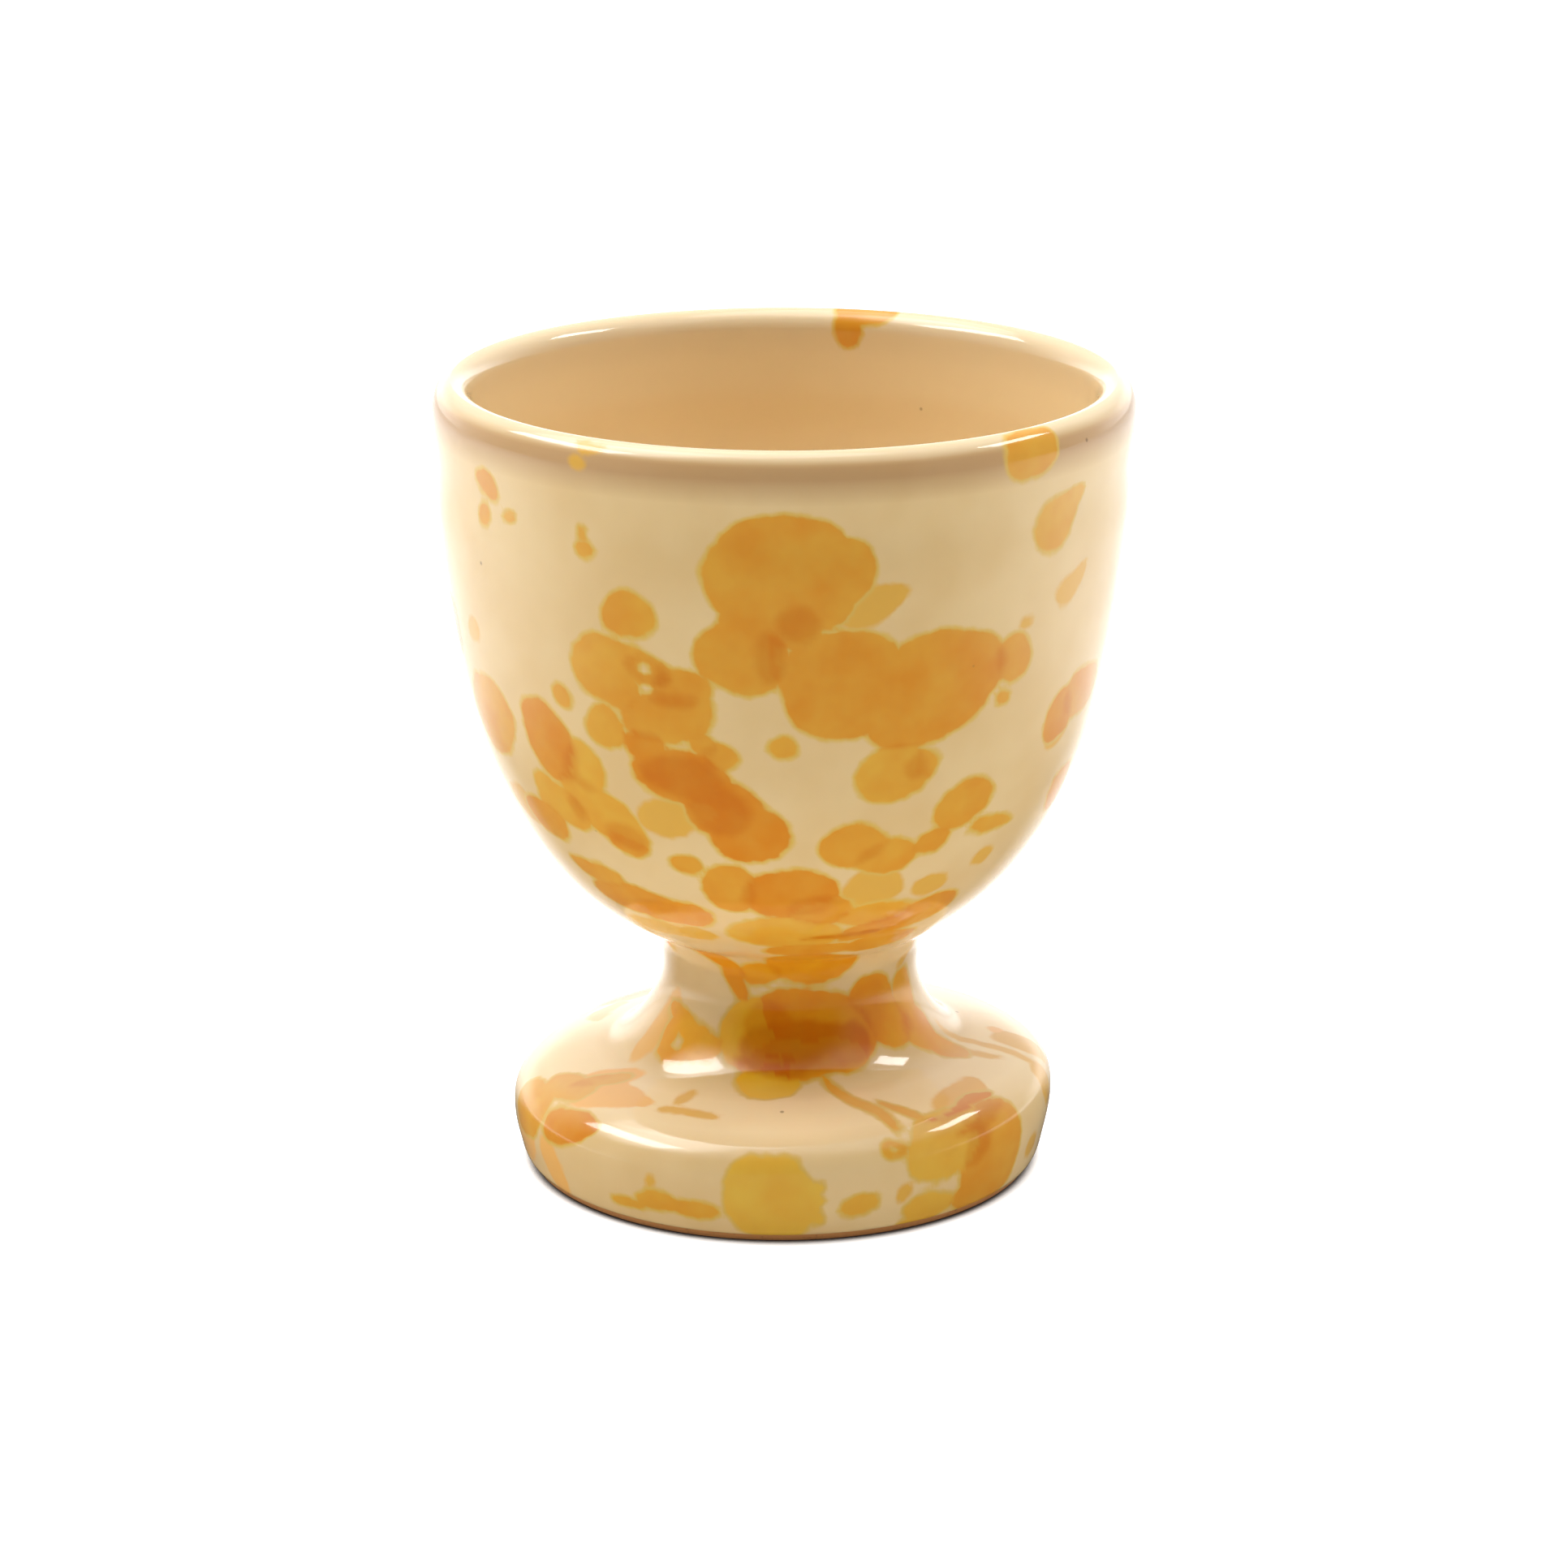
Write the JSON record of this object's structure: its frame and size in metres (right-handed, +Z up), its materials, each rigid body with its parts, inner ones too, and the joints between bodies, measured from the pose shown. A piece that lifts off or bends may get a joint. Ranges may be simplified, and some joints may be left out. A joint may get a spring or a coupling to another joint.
{
  "type": "egg cup",
  "caption": "Footed egg cup of glazed earthenware: a deep round bowl with a rolled lip on a short waisted stem and a thick round foot.",
  "frame": {"origin": "centre of the standing ring's face, where the cup's axis meets the table", "axes": "+Z up along the axis of the cup, from the foot to the lip"},
  "size_m": [0.05, 0.05, 0.0585],
  "materials": {
    "clay_body": "matte",
    "slip": "matte",
    "cream_glaze": "glossy"
  },
  "bodies": {
    "root": {"bowl": "clay_body", "luting_slip": "slip", "pedestal": "clay_body", "glaze_lining": "cream_glaze", "glaze_coat": "cream_glaze"}
  },
  "joints": []
}
